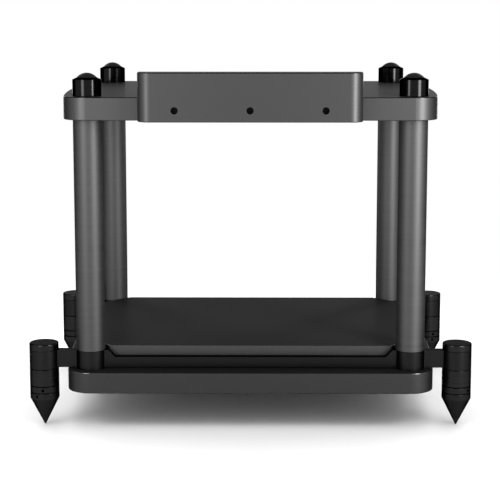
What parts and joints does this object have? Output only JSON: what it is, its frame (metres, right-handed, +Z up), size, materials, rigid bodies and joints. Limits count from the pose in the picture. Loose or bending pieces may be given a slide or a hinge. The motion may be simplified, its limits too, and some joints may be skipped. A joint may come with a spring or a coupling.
{
  "type": "speaker stand",
  "caption": "Low speaker stand with thick grey metal plates on round posts, a loose shelf, domed supports, a front bar and screw-adjustable spiked feet on cross beams.",
  "frame": {"origin": "on the floor, under the middle of the stand's outline, at the level of the spike tips", "axes": "+Z up, +X to the right seen from the front, +Y to the back; the front panel faces -Y"},
  "size_m": [0.592, 0.417, 0.475],
  "materials": {
    "grey_metal": "fine brushed, dark grey anodised",
    "post_metal": "satin, dark grey anodised",
    "gloss_black": "gloss black anodised",
    "dome_rubber": "matt black",
    "satin_black": "satin black anodised",
    "black_steel": "black oxide",
    "steel": "zinc plated",
    "pad_rubber": "matt black"
  },
  "bodies": {
    "stand": {"base_plate": "grey_metal", "top_plate": "grey_metal", "front_panel": "grey_metal", "shelf": "grey_metal", "post_front_left": "post_metal", "post_front_right": "post_metal", "post_rear_left": "post_metal", "post_rear_right": "post_metal", "support_cap_front_left": "gloss_black", "support_cap_front_right": "gloss_black", "support_cap_rear_left": "gloss_black", "support_cap_rear_right": "gloss_black", "support_dome_front_left": "dome_rubber", "support_dome_front_right": "dome_rubber", "support_dome_rear_left": "dome_rubber", "support_dome_rear_right": "dome_rubber", "front_beam": "satin_black", "rear_beam": "satin_black", "foot_cap_front_left": "satin_black", "foot_body_front_left": "satin_black", "foot_cap_front_right": "satin_black", "foot_body_front_right": "satin_black", "foot_cap_rear_left": "satin_black", "foot_body_rear_left": "satin_black", "foot_cap_rear_right": "satin_black", "foot_body_rear_right": "satin_black", "panel_screws": "black_steel", "base_bolts": "steel", "base_washers": "steel", "cap_stud_front_left": "steel", "cap_stud_front_right": "steel", "cap_stud_rear_left": "steel", "cap_stud_rear_right": "steel", "shelf_pads": "pad_rubber"},
    "lock_ring_front_left": {"lock_ring_front_left": "satin_black"},
    "spike_stud_front_left": {"spike_stud_front_left": "steel"},
    "spike_front_left": {"spike_front_left": "satin_black"},
    "lock_ring_front_right": {"lock_ring_front_right": "satin_black"},
    "spike_stud_front_right": {"spike_stud_front_right": "steel"},
    "spike_front_right": {"spike_front_right": "satin_black"},
    "lock_ring_rear_left": {"lock_ring_rear_left": "satin_black"},
    "spike_stud_rear_left": {"spike_stud_rear_left": "steel"},
    "spike_rear_left": {"spike_rear_left": "satin_black"},
    "lock_ring_rear_right": {"lock_ring_rear_right": "satin_black"},
    "spike_stud_rear_right": {"spike_stud_rear_right": "steel"},
    "spike_rear_right": {"spike_rear_right": "satin_black"}
  },
  "joints": [
    {"name": "lock_ring_front_left_turn", "type": "hinge", "parent": "stand", "child": "lock_ring_front_left", "pos_m": [-0.2765, -0.1475, 0.0503], "axis": [0, 0, -1], "range_deg": [0, 90]},
    {"name": "spike_front_left_travel", "type": "slide", "parent": "stand", "child": "spike_stud_front_left", "axis": [0, 0, -1], "range_m": [0, 0.0105]},
    {"name": "spike_front_left_turn", "type": "hinge", "parent": "spike_stud_front_left", "child": "spike_front_left", "pos_m": [-0.2765, -0.1475, 0.0228], "axis": [0, 0, -1], "range_deg": [0, 2160]},
    {"name": "lock_ring_front_right_turn", "type": "hinge", "parent": "stand", "child": "lock_ring_front_right", "pos_m": [0.2765, -0.1475, 0.0503], "axis": [0, 0, -1], "range_deg": [0, 90]},
    {"name": "spike_front_right_travel", "type": "slide", "parent": "stand", "child": "spike_stud_front_right", "axis": [0, 0, -1], "range_m": [0, 0.0105]},
    {"name": "spike_front_right_turn", "type": "hinge", "parent": "spike_stud_front_right", "child": "spike_front_right", "pos_m": [0.2765, -0.1475, 0.0228], "axis": [0, 0, -1], "range_deg": [0, 2160]},
    {"name": "lock_ring_rear_left_turn", "type": "hinge", "parent": "stand", "child": "lock_ring_rear_left", "pos_m": [-0.2765, 0.1775, 0.0503], "axis": [0, 0, -1], "range_deg": [0, 90]},
    {"name": "spike_rear_left_travel", "type": "slide", "parent": "stand", "child": "spike_stud_rear_left", "axis": [0, 0, -1], "range_m": [0, 0.0105]},
    {"name": "spike_rear_left_turn", "type": "hinge", "parent": "spike_stud_rear_left", "child": "spike_rear_left", "pos_m": [-0.2765, 0.1775, 0.0228], "axis": [0, 0, -1], "range_deg": [0, 2160]},
    {"name": "lock_ring_rear_right_turn", "type": "hinge", "parent": "stand", "child": "lock_ring_rear_right", "pos_m": [0.2765, 0.1775, 0.0503], "axis": [0, 0, -1], "range_deg": [0, 90]},
    {"name": "spike_rear_right_travel", "type": "slide", "parent": "stand", "child": "spike_stud_rear_right", "axis": [0, 0, -1], "range_m": [0, 0.0105]},
    {"name": "spike_rear_right_turn", "type": "hinge", "parent": "spike_stud_rear_right", "child": "spike_rear_right", "pos_m": [0.2765, 0.1775, 0.0228], "axis": [0, 0, -1], "range_deg": [0, 2160]}
  ],
  "couplings": [
    {"joint": "spike_front_left_turn", "follows": "spike_front_left_travel", "rad_per_m": 3590.4},
    {"joint": "spike_front_right_turn", "follows": "spike_front_right_travel", "rad_per_m": 3590.4},
    {"joint": "spike_rear_left_turn", "follows": "spike_rear_left_travel", "rad_per_m": 3590.4},
    {"joint": "spike_rear_right_turn", "follows": "spike_rear_right_travel", "rad_per_m": 3590.4}
  ]
}
